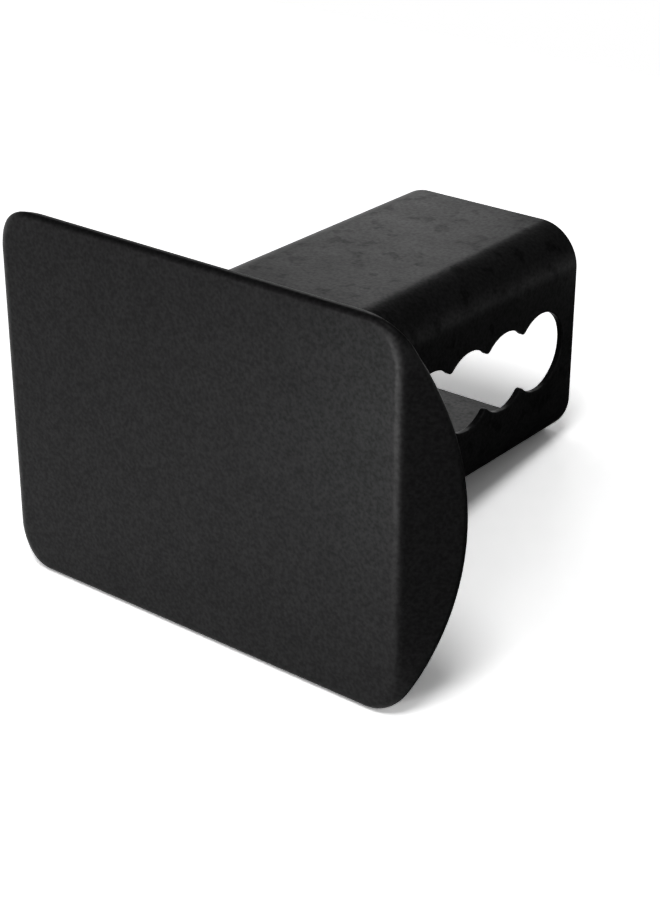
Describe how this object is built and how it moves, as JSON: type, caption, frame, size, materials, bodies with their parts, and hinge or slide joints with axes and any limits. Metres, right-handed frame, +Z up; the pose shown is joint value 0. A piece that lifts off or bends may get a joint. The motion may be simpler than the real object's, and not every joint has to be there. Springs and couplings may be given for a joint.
{
  "type": "hitch receiver cover",
  "caption": "Black coated steel cover for a square hitch receiver: a rounded face plate with folded side wings, welded to a short square tube with a scalloped pin slot.",
  "frame": {"origin": "on the axis of the tube, in the plane of the face plate's back", "axes": "+Y along the tube, into the receiver; -Y out of the face; +Z up as mounted on a vehicle; +X to the right seen from behind the vehicle, facing the plate"},
  "size_m": [0.1182, 0.0996, 0.0812],
  "materials": {
    "plate_coat": "matt black powder coat with a fine grain",
    "tube_coat": "matt black powder coat with a fine grain, slightly mottled on the tube",
    "weld_coat": "matt black powder coat over weld ripples"
  },
  "bodies": {
    "root": {"face_plate": "plate_coat", "receiver_tube": "tube_coat", "weld_top": "weld_coat", "weld_right": "weld_coat", "weld_bottom": "weld_coat", "weld_left": "weld_coat"}
  },
  "joints": []
}
